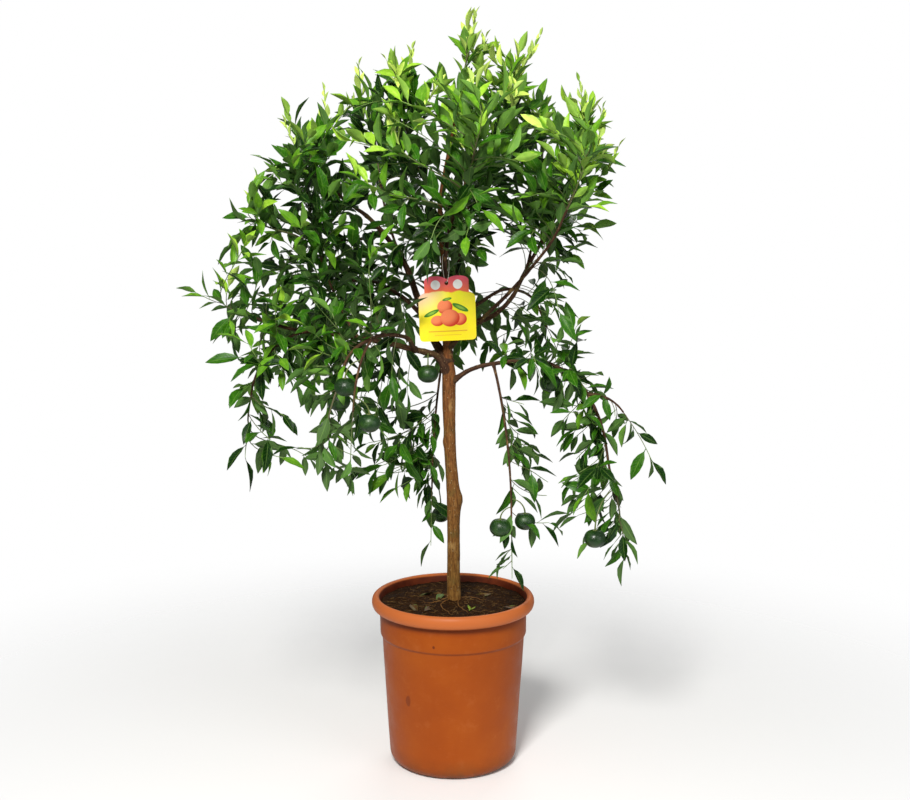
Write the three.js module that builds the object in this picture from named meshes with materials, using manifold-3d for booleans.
// A potted mandarin tree: a head of leafy branches on a bare stem, in a round nursery pot.
// Millimetres, +Z up. The origin is the centre of the pot's base, where it stands, and -Y is the front.
import * as THREE from 'three';
import { mergeVertices } from 'three/addons/utils/BufferGeometryUtils.js';
import Module from 'manifold-3d';

const wasm = await Module();
wasm.setup();
const { Manifold } = wasm;

// ---- Driving dimensions ----
const GAP = 0.3; // between solids that touch

const POT = {
  height: 368,
  rimRadius: 175, // outside of the rolled rim
  rollDepth: 18.5, // the rolled rim, radially
  rollHeight: 28,
  collarRadius: 157.5, // the band under the rim
  collarBottom: 284,
  bodyTopRadius: 153.2,
  bodyBottomRadius: 138,
  cornerRadius: 26, // between wall and base
  wall: 3.2,
  floorTop: 8,
  footRadius: 40, // the disc in the middle of the base that stands on the ground
  recess: 4, // the drained ring of the base, above the ground
  sides: 36,
};
const DRAIN = { count: 8, radius: 6, ring: 76 };
const SOIL = { edge: 352, crown: 359 }; // the level at the pot's wall and round the stem

const LEAF = { length: 66, width: 25, thickness: 1.2 };
const SHOOT = { startRadius: 2, endRadius: 1, leaves: 8, leafAngle: 50, turn: 137.5 };
const SIDE_RADIUS = [3, 1.8];
const SIDE_SHOOT = { at: 0.72, firstHeading: 20, step: 35, climb: [35, 60], length: 120 };
const FRUIT = { radius: 22, flatness: 0.88, stalkRadius: 1.6 };
const TAG = { width: 118, height: 134, neckWidth: 92, shoulder: 96, thickness: 0.8, holeRadius: 4 };
const TIE_RADIUS = 0.8;

const COLOURS = {
  pot: 0xb4541f,
  soil: 0x2b1d14,
  bark: 0x8a5a34,
  twig: 0x5b4a2e,
  leaf: 0x2f6b22,
  fruit: 0x1f4d22,
  tag: 0xf3e12a,
  tie: 0xf2f2ee,
};

const degrees = THREE.MathUtils.degToRad;
const point = (x, y, z) => new THREE.Vector3(x, y, z);
const UP = point(0, 0, 1);

// ---- Solids and meshes ----
const materials = Object.fromEntries(
  Object.entries(COLOURS).map(([name, color]) => {
    const roughness = { leaf: 0.45, fruit: 0.4, tag: 0.35, pot: 0.5 }[name] ?? 0.85;
    return [name, new THREE.MeshStandardMaterial({ color, roughness, metalness: 0 })];
  }),
);

// A closed three.js geometry as a solid that can be joined and cut.
function solidOf(geometry) {
  const bare = geometry.clone();
  bare.deleteAttribute('normal');
  bare.deleteAttribute('uv');
  const merged = mergeVertices(bare, 1e-3);
  return new Manifold(
    new wasm.Mesh({
      numProp: 3,
      vertProperties: new Float32Array(merged.getAttribute('position').array),
      triVerts: new Uint32Array(merged.index.array),
    }),
  );
}

function geometryOf(solid) {
  const { vertProperties, triVerts } = solid.getMesh();
  const geometry = new THREE.BufferGeometry();
  geometry.setAttribute('position', new THREE.BufferAttribute(vertProperties, 3));
  geometry.setIndex(new THREE.BufferAttribute(triVerts, 1));
  geometry.computeVertexNormals();
  return geometry;
}

const joined = (solids) => solids.reduce((whole, next) => whole.add(next));
const touches = (a, b) => a.intersect(b).volume() > 0.001;
const largestPiece = (solid) => solid.decompose().reduce((a, b) => (a.volume() > b.volume() ? a : b));

const plant = new THREE.Group();

function addMesh(name, geometry, material, parent = plant) {
  const mesh = new THREE.Mesh(geometry, material);
  mesh.name = name;
  parent.add(mesh);
  return mesh;
}

// ---- Pot ----
// Half of the pot's section, from the middle of the base, out and up round the rim, and back down inside.
function potProfile() {
  const { rimRadius, rollDepth, rollHeight, height, collarRadius, collarBottom, cornerRadius } = POT;
  const { bodyTopRadius, bodyBottomRadius, wall, floorTop, footRadius, recess } = POT;
  const standRadius = bodyBottomRadius - cornerRadius;
  const rollMiddle = point(rimRadius - rollDepth / 2, height - rollHeight / 2, 0);
  const path = new THREE.Path();
  path.moveTo(0, 0);
  path.lineTo(footRadius, 0);
  path.lineTo(footRadius + recess, recess);
  path.lineTo(standRadius - 4 * recess, recess);
  path.lineTo(standRadius - 3 * recess, 0);
  path.lineTo(standRadius, 0);
  path.absarc(standRadius, cornerRadius, cornerRadius, -Math.PI / 2, 0, false);
  path.lineTo(bodyTopRadius, collarBottom - 3);
  path.lineTo(collarRadius - 1, collarBottom + 1);
  path.lineTo(collarRadius, height - rollHeight - 8);
  path.absellipse(rollMiddle.x, rollMiddle.y, rollDepth / 2, rollHeight / 2, degrees(-115), degrees(150), false, 0);
  path.lineTo(collarRadius - wall, height - rollHeight);
  path.lineTo(collarRadius - wall, collarBottom + 4);
  path.lineTo(bodyTopRadius - wall, collarBottom - 5);
  path.lineTo(bodyBottomRadius - wall, cornerRadius + wall);
  path.absarc(standRadius - wall, cornerRadius + wall, cornerRadius - 5, 0, -Math.PI / 2, true);
  path.lineTo(0, floorTop);
  return path.getPoints(2);
}

function potGeometry() {
  const shell = new THREE.LatheGeometry(potProfile(), POT.sides).rotateX(Math.PI / 2);
  let solid = solidOf(shell);
  for (let i = 0; i < DRAIN.count; i++) {
    const angle = (i / DRAIN.count) * 2 * Math.PI;
    const hole = new THREE.CylinderGeometry(DRAIN.radius, DRAIN.radius, 4 * POT.floorTop, 8);
    hole.rotateX(Math.PI / 2).translate(DRAIN.ring * Math.cos(angle), DRAIN.ring * Math.sin(angle), 0);
    solid = solid.subtract(solidOf(hole));
  }
  return geometryOf(solid);
}

addMesh('pot', potGeometry(), materials.pot);

// ---- Branches ----
// A round, tapering stick along a curve. radiusAt(u) is its radius at a share u of its length.
function stick(curve, radiusAt, sides, steps) {
  const geometry = new THREE.CylinderGeometry(1, 1, 1, sides, steps).rotateX(Math.PI / 2);
  const { normals, binormals } = curve.computeFrenetFrames(steps, false);
  const centres = Array.from({ length: steps + 1 }, (_, i) => curve.getPointAt(i / steps));
  const position = geometry.getAttribute('position');
  for (let i = 0; i < position.count; i++) {
    const step = Math.round((position.getZ(i) + 0.5) * steps);
    const radius = radiusAt(step / steps);
    const at = centres[step]
      .clone()
      .addScaledVector(normals[step], position.getX(i) * radius)
      .addScaledVector(binormals[step], position.getY(i) * radius);
    position.setXYZ(i, at.x, at.y, at.z);
  }
  return geometry;
}

// A branch's line, its solid, and the slightly fatter solid that its neighbours are cut by.
function branchAlong(curve, radiusAt, sides, steps) {
  const clearance = GAP / Math.cos(Math.PI / sides) + 0.02;
  return {
    curve,
    radiusAt,
    solid: solidOf(stick(curve, radiusAt, sides, steps)),
    cutter: solidOf(stick(curve, (u) => radiusAt(u) + clearance, sides, steps)),
  };
}

const taper = (from, to) => (u) => THREE.MathUtils.lerp(from, to, u);
const grown = {}; // every branch by its name
const placed = []; // every solid of the head, so that the next one can stay clear of it

// The stem is one stick from under the soil to the top of the head. The fourth number is its radius.
const STEM = [
  [3, 0, 250, 13], [3, 0, 300, 17], [2, 0, 354, 15.5], [1, 0, 400, 14.3], [1, 0, 470, 13.6], [1, 0, 530, 13.6],
  [2, 0, 575, 15.2], [-2, 0, 620, 13.2], [-6, 0, 680, 12.8], [-8, 0, 745, 13.2], [-9, 0, 810, 14], [-9, 0, 846, 14.5],
  [-12, 0, 890, 9], [-16, 0, 970, 7.6], [-18, 2, 1060, 6.6], [-27, 5, 1190, 5.2], [-8, 2, 1310, 3.8], [12, 0, 1408, 2.8],
];

function growStem() {
  const curve = new THREE.CatmullRomCurve3(STEM.map(([x, y, z]) => point(x, y, z)));
  const thickness = new THREE.CatmullRomCurve3(STEM.map(([, , , radius]) => point(radius, 0, 0)), false, 'catmullrom');
  const radiusAt = (u) => thickness.getPoint(curve.getUtoTmapping(u)).x;
  return branchAlong(curve, radiusAt, 9, 28);
}

// Short roots leave the stem just under the soil and run outwards and down.
function rootSolids(first) {
  const ROOTS = { count: 5, length: 85, drop: 42, radius: 6 };
  const start = first.getPointAt(0.05);
  return Array.from({ length: ROOTS.count }, (_, i) => {
    const angle = degrees(20) + (i / ROOTS.count) * 2 * Math.PI;
    const outward = point(Math.cos(angle), Math.sin(angle), 0);
    const bend = start.clone().addScaledVector(outward, ROOTS.length * 0.5).addScaledVector(UP, -ROOTS.drop * 0.25);
    const end = start.clone().addScaledVector(outward, ROOTS.length).addScaledVector(UP, -ROOTS.drop);
    return branchAlong(new THREE.QuadraticBezierCurve3(start, bend, end), taper(ROOTS.radius, 2), 5, 3);
  });
}

grown.stem = growStem();
const roots = rootSolids(grown.stem.curve);
const underground = joined([grown.stem, ...roots].map((branch) => branch.cutter));

// The soil fills the pot, rises a little to the stem, and has the stem and its roots in it.
function soilGeometry() {
  const inside = GAP + POT.wall;
  const corner = POT.cornerRadius - 5;
  const standRadius = POT.bodyBottomRadius - POT.cornerRadius;
  const path = new THREE.Path();
  path.moveTo(0, POT.floorTop + GAP);
  path.lineTo(standRadius - POT.wall, POT.floorTop + GAP);
  path.absarc(standRadius - inside, POT.cornerRadius + inside, corner, -Math.PI / 2, 0, false);
  path.lineTo(POT.bodyTopRadius - inside - GAP, POT.collarBottom - 5);
  path.lineTo(POT.collarRadius - inside - GAP, POT.collarBottom + 5);
  path.lineTo(POT.collarRadius - inside - GAP, SOIL.edge - 4);
  path.lineTo(POT.collarRadius - 3 * POT.wall, SOIL.edge);
  path.lineTo(POT.collarRadius / 2, (SOIL.edge + SOIL.crown) / 2);
  path.lineTo(0, SOIL.crown);
  const filling = new THREE.LatheGeometry(path.getPoints(2), POT.sides).rotateX(Math.PI / 2);
  return geometryOf(solidOf(filling).subtract(underground));
}

addMesh('soil', soilGeometry(), materials.soil);

// Limbs: each leaves a parent at a share of its length and runs through the points given.
const LIMBS = [
  {
    name: 'limb_left_low', on: 'stem', at: 0.512, radius: [7.2, 2.6],
    through: [[-34, -20, 886], [-77, -40, 901], [-150, -60, 920], [-245, -80, 938], [-330, -90, 950], [-398, -98, 972]],
  },
  {
    name: 'limb_left_high', on: 'stem', at: 0.53, radius: [9.2, 2.6],
    through: [[-45, 24, 925], [-74, 44, 999], [-105, 60, 1078], [-172, 62, 1165], [-240, 62, 1218], [-280, 60, 1272]],
  },
  {
    name: 'limb_right_high', on: 'stem', at: 0.56, radius: [6, 2.4],
    through: [[45, 26, 948], [92, 40, 970], [126, 50, 1005], [156, 60, 1063], [196, 60, 1135], [232, 55, 1200], [250, 50, 1248]],
  },
  {
    name: 'limb_right_low', on: 'stem', at: 0.495, radius: [4.8, 2.2],
    through: [[40, -20, 859], [110, -42, 876], [189, -60, 878], [258, -80, 838], [302, -95, 758], [322, -100, 660], [336, -106, 605]],
  },
  {
    name: 'limb_front', on: 'stem', at: 0.69, radius: [4.6, 2.2],
    through: [[-14, -60, 1108], [-4, -130, 1160], [14, -205, 1210], [30, -262, 1262]],
  },
  {
    name: 'limb_front_left', on: 'limb_left_low', at: 0.24, radius: [4.8, 2.2],
    through: [[-95, -118, 935], [-148, -190, 944], [-198, -238, 915], [-222, -258, 850]],
  },
  {
    name: 'limb_back', on: 'stem', at: 0.545, radius: [6.6, 2.4],
    through: [[-4, 55, 950], [8, 135, 1045], [22, 210, 1130], [36, 255, 1205]],
  },
  {
    name: 'limb_back_left', on: 'limb_left_high', at: 0.22, radius: [5, 2.2],
    through: [[-110, 112, 1000], [-185, 190, 1030], [-255, 245, 1018], [-305, 275, 955]],
  },
  {
    name: 'limb_back_right', on: 'limb_back', at: 0.2, radius: [4.8, 2.2],
    through: [[55, 120, 985], [118, 185, 1012], [178, 235, 990], [215, 262, 920]],
  },
  {
    name: 'limb_front_right', on: 'limb_right_high', at: 0.2, radius: [4.4, 2.2],
    through: [[118, -38, 1022], [160, -108, 1078], [196, -160, 1132], [220, -192, 1190]],
  },
];

// Side branches: heading is the compass angle in plan, 0 to +X and 90 to the back.
// climb is the slope where the branch starts and at its tip.
const SIDE_BRANCHES = [
  { name: 'branch_left_up', on: 'limb_left_low', at: 0.52, heading: 160, climb: [55, 75], length: 210 },
  { name: 'branch_left_hanging', on: 'limb_left_low', at: 0.76, heading: 215, climb: [-5, -82], length: 190 },
  { name: 'branch_crown_left', on: 'limb_left_high', at: 0.5, heading: 140, climb: [60, 82], length: 195 },
  { name: 'branch_far_left', on: 'limb_left_high', at: 0.62, heading: 200, climb: [-15, 12], length: 170 },
  { name: 'branch_crown_front', on: 'stem', at: 0.82, heading: 215, climb: [40, 72], length: 120 },
  { name: 'branch_crown_right', on: 'stem', at: 0.79, heading: -15, climb: [42, 70], length: 225 },
  { name: 'branch_back_right_up', on: 'limb_right_high', at: 0.55, heading: 70, climb: [50, 76], length: 215 },
  { name: 'branch_right_hanging', on: 'limb_right_low', at: 0.2, heading: -72, climb: [-50, -89], length: 330 },
  { name: 'branch_right_out', on: 'limb_right_low', at: 0.6, heading: -15, climb: [5, -55], length: 85 },
  { name: 'branch_front_hanging', on: 'limb_front_left', at: 0.5, heading: 255, climb: [10, -80], length: 240 },
  { name: 'branch_back_up', on: 'limb_back', at: 0.6, heading: 150, climb: [40, 66], length: 225 },
  { name: 'branch_back_hanging', on: 'limb_back', at: 0.36, heading: 238, climb: [-66, -89], length: 415 },
];

const heading = (angle, climb) =>
  point(Math.cos(degrees(angle)) * Math.cos(degrees(climb)), Math.sin(degrees(angle)) * Math.cos(degrees(climb)), Math.sin(degrees(climb)));

// A line that starts with one slope and ends with another, turning evenly on the way.
function bendingLine(start, angle, [climbStart, climbEnd], length) {
  const parts = 8;
  const points = [start];
  for (let i = 0; i < parts; i++) {
    const climb = THREE.MathUtils.lerp(climbStart, climbEnd, (i + 0.5) / parts);
    points.push(points[i].clone().addScaledVector(heading(angle, climb), length / parts));
  }
  return new THREE.CatmullRomCurve3(points);
}

for (const limb of LIMBS) {
  const start = grown[limb.on].curve.getPointAt(limb.at);
  const curve = new THREE.CatmullRomCurve3([start, ...limb.through.map(([x, y, z]) => point(x, y, z))]);
  grown[limb.name] = branchAlong(curve, taper(...limb.radius), 6, Math.round(curve.getLength() / 38));
}

for (const side of SIDE_BRANCHES) {
  const start = grown[side.on].curve.getPointAt(side.at);
  const curve = bendingLine(start, side.heading, side.climb, side.length);
  grown[side.name] = branchAlong(curve, taper(...SIDE_RADIUS), 5, Math.round(side.length / 38));
}

// Roots, stem, limbs and side branches grew as one piece of wood, so they are one solid.
const wood = [...Object.values(grown), ...roots];
addMesh('tree_wood', geometryOf(joined(wood.map((branch) => branch.solid))), materials.bark);
placed.push(...wood.map((branch) => branch.cutter));

// ---- Fruits ----
// Each fruit hangs on a stalk that leaves its branch sideways, on a compass heading, and bends down.
const FRUITS = [
  { on: 'limb_left_low', at: 0.66, heading: 285, stalk: 34, radius: 22 },
  { on: 'limb_left_low', at: 0.17, heading: 270, stalk: 36, radius: 22 },
  { on: 'limb_front_left', at: 0.94, heading: 100, stalk: 44, radius: 22 },
  { on: 'branch_front_hanging', at: 0.56, heading: 195, stalk: 50, radius: 21 },
  { on: 'branch_front_hanging', at: 0.9, heading: 10, stalk: 45, radius: 21 },
  { on: 'limb_right_low', at: 0.42, heading: 265, stalk: 30, radius: 21 },
  { on: 'limb_right_low', at: 0.97, heading: 230, stalk: 110, radius: 22 },
  { on: 'branch_right_hanging', at: 0.93, heading: 190, stalk: 36, radius: 22 },
  { on: 'branch_right_hanging', at: 0.88, heading: 10, stalk: 46, radius: 21 },
  { on: 'branch_back_hanging', at: 0.96, heading: 75, stalk: 110, radius: 20 },
];

// A squat round fruit with the end of its stalk in the dimple at its top.
function fruitSolid(stalk, radius) {
  const half = radius * FRUIT.flatness;
  const end = stalk.getPointAt(1);
  const body = new THREE.SphereGeometry(radius, 9, 6).rotateX(Math.PI / 2).scale(1, 1, FRUIT.flatness);
  body.translate(end.x, end.y, end.z - half * 0.9);
  return solidOf(body).add(solidOf(stick(stalk, taper(FRUIT.stalkRadius, FRUIT.stalkRadius), 4, 4)));
}

FRUITS.forEach((fruit, i) => {
  const name = 'mandarin_' + (i + 1);
  const branch = grown[fruit.on];
  const stalk = bendingLine(branch.curve.getPointAt(fruit.at), fruit.heading, [-5, -88], fruit.stalk);
  const solid = largestPiece(fruitSolid(stalk, fruit.radius).subtract(branch.cutter));
  if (placed.some((other) => touches(solid, other))) throw new Error(name + ' touches a neighbour');
  placed.push(solid);
  addMesh(name, geometryOf(solid), materials.fruit);
});

// ---- Tag and tie ----
// The card's outline, from the middle of its lower edge: rounded corners, a narrower neck and two humps at the top.
function tagShape() {
  const { width, height, neckWidth, shoulder, holeRadius } = TAG;
  const [half, neck, corner] = [width / 2, neckWidth / 2, 10];
  const shape = new THREE.Shape();
  shape.moveTo(-half + corner, 0);
  shape.lineTo(half - corner, 0);
  shape.quadraticCurveTo(half, 0, half, corner);
  shape.lineTo(half, shoulder - corner);
  shape.quadraticCurveTo(half, shoulder, neck, shoulder + 4);
  shape.lineTo(neck, height - corner);
  shape.quadraticCurveTo(neck - 2, height, neck / 2, height);
  shape.quadraticCurveTo(neck / 5, height, 0, height - 7);
  shape.quadraticCurveTo(-neck / 5, height, -neck / 2, height);
  shape.quadraticCurveTo(-neck + 2, height, -neck, height - corner);
  shape.lineTo(-neck, shoulder + 4);
  shape.quadraticCurveTo(-half, shoulder, -half, shoulder - corner);
  shape.lineTo(-half, corner);
  shape.quadraticCurveTo(-half, 0, -half + corner, 0);
  shape.holes.push(new THREE.Path().absarc(0, height - 15, holeRadius, 0, 2 * Math.PI, true));
  return shape;
}

// The tag hangs from the front limb by a loop that goes round the limb and through the tag's hole.
function hangTag() {
  const limb = grown.limb_front;
  const at = 0.17;
  const over = limb.curve.getPointAt(at);
  const slope = limb.curve.getTangentAt(at);
  const beside = limb.radiusAt(at) + TIE_RADIUS + GAP + 0.6;
  const above = beside / Math.hypot(slope.x, slope.y) + 0.6;
  const drop = 52; // from the limb's middle to the hole
  const hanger = new THREE.Group();
  hanger.position.copy(over);
  hanger.rotation.set(0, degrees(-2), degrees(6));
  plant.add(hanger);
  const card = new THREE.ExtrudeGeometry(tagShape(), { depth: TAG.thickness, bevelEnabled: false, curveSegments: 4 });
  card.translate(0, 0, -TAG.thickness / 2).rotateX(Math.PI / 2);
  card.translate(0, 0, -drop - (TAG.height - 15));
  addMesh('tag', card, materials.tag, hanger);
  const inHole = -drop + TAG.holeRadius - 3 * TIE_RADIUS; // the bottom of the loop
  const loop = new THREE.CatmullRomCurve3(
    [
      point(0, 0, inHole),
      point(2, -3, inHole + 3),
      point(beside, -2.5, -drop / 2),
      point(beside, -1, 1),
      point(beside * 0.7, 0, above * 0.75),
      point(0, 0, above),
      point(-beside * 0.7, 0, above * 0.75),
      point(-beside, 1, 1),
      point(-beside, 2.5, -drop / 2),
      point(-2, 3, inHole + 3),
    ],
    true,
  );
  addMesh('tag_tie', new THREE.TubeGeometry(loop, 26, TIE_RADIUS, 4, true), materials.tie, hanger);
  hanger.updateMatrixWorld(true);
  for (const mesh of hanger.children) {
    placed.push(solidOf(mesh.geometry.clone().applyMatrix4(mesh.matrixWorld)));
  }
}

hangTag();

// ---- Leafy shoots ----
// One leaf, pointed at both ends, from the origin along +Y, with its flat side to +Z.
function leafGeometry(length, width) {
  const blade = new THREE.SphereGeometry(0.5, 4, 3);
  return blade.scale(width, length, LEAF.thickness).translate(0, length / 2, 0);
}

// Turns a leaf so that it points along direction and lies as flat as it can.
function layLeaf(geometry, base, direction) {
  const side = new THREE.Vector3().crossVectors(direction, UP).normalize();
  const flat = new THREE.Vector3().crossVectors(side, direction);
  const matrix = new THREE.Matrix4().makeBasis(side, direction, flat).setPosition(base);
  return geometry.applyMatrix4(matrix);
}

// A shoot at a branch's tip carries it on, turning up to the light, or down where the branch hangs.
function tipLine(branch) {
  const along = branch.curve.getTangentAt(1);
  const start = branch.curve.getPointAt(1).addScaledVector(along, GAP);
  const climb = THREE.MathUtils.radToDeg(Math.asin(along.z));
  const angle = THREE.MathUtils.radToDeg(Math.atan2(along.y, along.x));
  const end = climb > 0 ? Math.min(88, climb + 12) : Math.max(-88, climb - 15);
  return bendingLine(start, angle, [climb, end], climb > 55 ? 150 : 125);
}

// A leaf at a share u of the shoot. The leaves stand round it in a spiral, and the last one points ahead.
function leafSolid(line, u, i) {
  const along = line.getTangentAt(u);
  const across = new THREE.Vector3().crossVectors(along, Math.abs(along.z) < 0.9 ? UP : point(1, 0, 0)).normalize();
  across.applyAxisAngle(along, degrees(i * SHOOT.turn));
  const lean = degrees(i === SHOOT.leaves - 1 ? 12 : SHOOT.leafAngle);
  const direction = along.clone().multiplyScalar(Math.cos(lean)).addScaledVector(across, Math.sin(lean));
  const size = 1 - 0.25 * u;
  return solidOf(layLeaf(leafGeometry(LEAF.length * size, LEAF.width * size), line.getPointAt(u), direction));
}

// Adds a shoot on a branch, if its twig is clear of the neighbours. A leaf that would touch one is left out.
function growShoot(name, line, branch) {
  const twig = solidOf(stick(line, taper(SHOOT.startRadius, SHOOT.endRadius), 4, 3)).subtract(branch.cutter);
  let solid = largestPiece(twig);
  if (placed.some((other) => touches(solid, other))) return false;
  for (let i = 0; i < SHOOT.leaves; i++) {
    const leaf = leafSolid(line, 0.12 + (0.86 * i) / (SHOOT.leaves - 1), i);
    if (!placed.some((other) => touches(leaf, other))) solid = solid.add(leaf);
  }
  placed.push(solid);
  addMesh(name, geometryOf(largestPiece(solid)), materials.leaf);
  return true;
}

const shootName = (branchName) => 'shoot_' + branchName.replace('limb_', '').replace('branch_', '');

for (const [branchName, branch] of Object.entries(grown)) {
  if (!growShoot(shootName(branchName), tipLine(branch), branch)) throw new Error(branchName + ' has no room at its tip');
}

// Each limb also carries one shoot along its way, on the first heading that has room for it.
for (const { name } of LIMBS) {
  const branch = grown[name];
  const start = branch.curve.getPointAt(SIDE_SHOOT.at);
  for (let angle = SIDE_SHOOT.firstHeading; angle < 360; angle += SIDE_SHOOT.step) {
    const line = bendingLine(start, angle, SIDE_SHOOT.climb, SIDE_SHOOT.length);
    if (growShoot(shootName(name) + '_side', line, branch)) break;
  }
}

export default plant;
